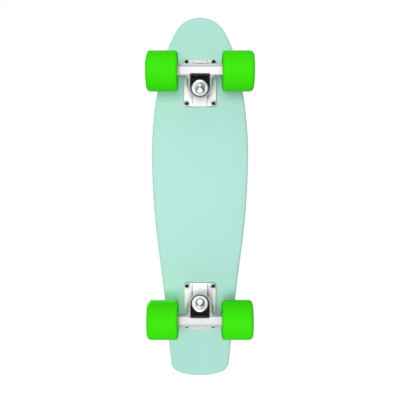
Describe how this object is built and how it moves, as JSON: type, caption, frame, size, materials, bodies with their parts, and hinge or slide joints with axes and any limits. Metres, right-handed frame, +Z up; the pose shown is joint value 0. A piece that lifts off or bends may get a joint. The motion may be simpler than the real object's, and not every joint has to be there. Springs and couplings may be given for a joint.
{
  "type": "cruiser skateboard",
  "caption": "Small moulded-plastic cruiser skateboard with a kicked tail, sprung steering trucks and soft wheels turning on ball bearings.",
  "frame": {"origin": "on the floor under the middle of the deck, so the wheels stand on Z = 0", "axes": "+X along the board towards the nose, +Y to its left, +Z up through the deck"},
  "size_m": [0.569, 0.157, 0.1106],
  "materials": {
    "deck": "mint moulded plastic, satin underside, fine waffle on top",
    "wheels": "lime cast urethane, satin",
    "trucks": "cast, bead-blasted silver",
    "steel": "zinc-plated",
    "bearings": "ground and polished steel",
    "fasteners": "black oxide",
    "bushings": "black urethane",
    "cups": "black nylon",
    "cages": "natural nylon"
  },
  "bodies": {
    "board": {"deck": "deck", "front_truck_bolts": "fasteners", "front_lock_nuts": "steel", "front_baseplate": "trucks", "front_pivot_cup": "cups", "front_kingpin": "steel", "front_kingpin_nut": "steel", "front_boardside_washer": "steel", "front_boardside_bushing": "bushings", "front_roadside_bushing": "bushings", "front_roadside_washer": "steel", "rear_truck_bolts": "fasteners", "rear_lock_nuts": "steel", "rear_baseplate": "trucks", "rear_pivot_cup": "cups", "rear_kingpin": "steel", "rear_kingpin_nut": "steel", "rear_boardside_washer": "steel", "rear_boardside_bushing": "bushings", "rear_roadside_bushing": "bushings", "rear_roadside_washer": "steel"},
    "front_hanger": {"front_hanger": "trucks", "front_axle": "steel", "front_axle_nuts": "steel", "front_speed_rings": "steel", "front_bearing_inner_races": "bearings", "front_bearing_spacers": "steel"},
    "front_left_wheel": {"front_left_wheel": "wheels", "front_left_bearing_outer_races": "bearings", "front_left_bearing_shields": "bearings"},
    "front_left_balls": {"front_left_bearing_balls": "bearings", "front_left_bearing_cages": "cages"},
    "front_right_wheel": {"front_right_wheel": "wheels", "front_right_bearing_outer_races": "bearings", "front_right_bearing_shields": "bearings"},
    "front_right_balls": {"front_right_bearing_balls": "bearings", "front_right_bearing_cages": "cages"},
    "rear_hanger": {"rear_hanger": "trucks", "rear_axle": "steel", "rear_axle_nuts": "steel", "rear_speed_rings": "steel", "rear_bearing_inner_races": "bearings", "rear_bearing_spacers": "steel"},
    "rear_left_wheel": {"rear_left_wheel": "wheels", "rear_left_bearing_outer_races": "bearings", "rear_left_bearing_shields": "bearings"},
    "rear_left_balls": {"rear_left_bearing_balls": "bearings", "rear_left_bearing_cages": "cages"},
    "rear_right_wheel": {"rear_right_wheel": "wheels", "rear_right_bearing_outer_races": "bearings", "rear_right_bearing_shields": "bearings"},
    "rear_right_balls": {"rear_right_bearing_balls": "bearings", "rear_right_bearing_cages": "cages"}
  },
  "joints": [
    {"name": "front_steer", "type": "hinge", "parent": "board", "child": "front_hanger", "pos_m": [0.2095, 0, 0.064], "axis": [0.8545, 0, 0.5194], "range_deg": [-12, 12], "stiffness_Nm_per_rad": 30, "deforming": ["front_boardside_bushing", "front_roadside_bushing"]},
    {"name": "front_left_roll", "type": "hinge", "parent": "front_hanger", "child": "front_left_wheel", "pos_m": [0.1935, 0.0555, 0.0295], "axis": [0, 1, 0], "continuous": true},
    {"name": "front_left_balls_roll", "type": "hinge", "parent": "front_hanger", "child": "front_left_balls", "pos_m": [0.1935, 0.0555, 0.0295], "axis": [0, 1, 0], "continuous": true},
    {"name": "front_right_roll", "type": "hinge", "parent": "front_hanger", "child": "front_right_wheel", "pos_m": [0.1935, -0.0555, 0.0295], "axis": [0, 1, 0], "continuous": true},
    {"name": "front_right_balls_roll", "type": "hinge", "parent": "front_hanger", "child": "front_right_balls", "pos_m": [0.1935, -0.0555, 0.0295], "axis": [0, 1, 0], "continuous": true},
    {"name": "rear_steer", "type": "hinge", "parent": "board", "child": "rear_hanger", "pos_m": [-0.1905, 0, 0.064], "axis": [-0.8545, 0, 0.5194], "range_deg": [-12, 12], "stiffness_Nm_per_rad": 30, "deforming": ["rear_boardside_bushing", "rear_roadside_bushing"]},
    {"name": "rear_left_roll", "type": "hinge", "parent": "rear_hanger", "child": "rear_left_wheel", "pos_m": [-0.1745, 0.0555, 0.0295], "axis": [0, 1, 0], "continuous": true},
    {"name": "rear_left_balls_roll", "type": "hinge", "parent": "rear_hanger", "child": "rear_left_balls", "pos_m": [-0.1745, 0.0555, 0.0295], "axis": [0, 1, 0], "continuous": true},
    {"name": "rear_right_roll", "type": "hinge", "parent": "rear_hanger", "child": "rear_right_wheel", "pos_m": [-0.1745, -0.0555, 0.0295], "axis": [0, 1, 0], "continuous": true},
    {"name": "rear_right_balls_roll", "type": "hinge", "parent": "rear_hanger", "child": "rear_right_balls", "pos_m": [-0.1745, -0.0555, 0.0295], "axis": [0, 1, 0], "continuous": true}
  ],
  "couplings": [
    {"joint": "front_left_balls_roll", "follows": "front_left_roll", "ratio": 0.6323},
    {"joint": "front_right_balls_roll", "follows": "front_right_roll", "ratio": 0.6323},
    {"joint": "rear_left_balls_roll", "follows": "rear_left_roll", "ratio": 0.6323},
    {"joint": "rear_right_balls_roll", "follows": "rear_right_roll", "ratio": 0.6323}
  ]
}
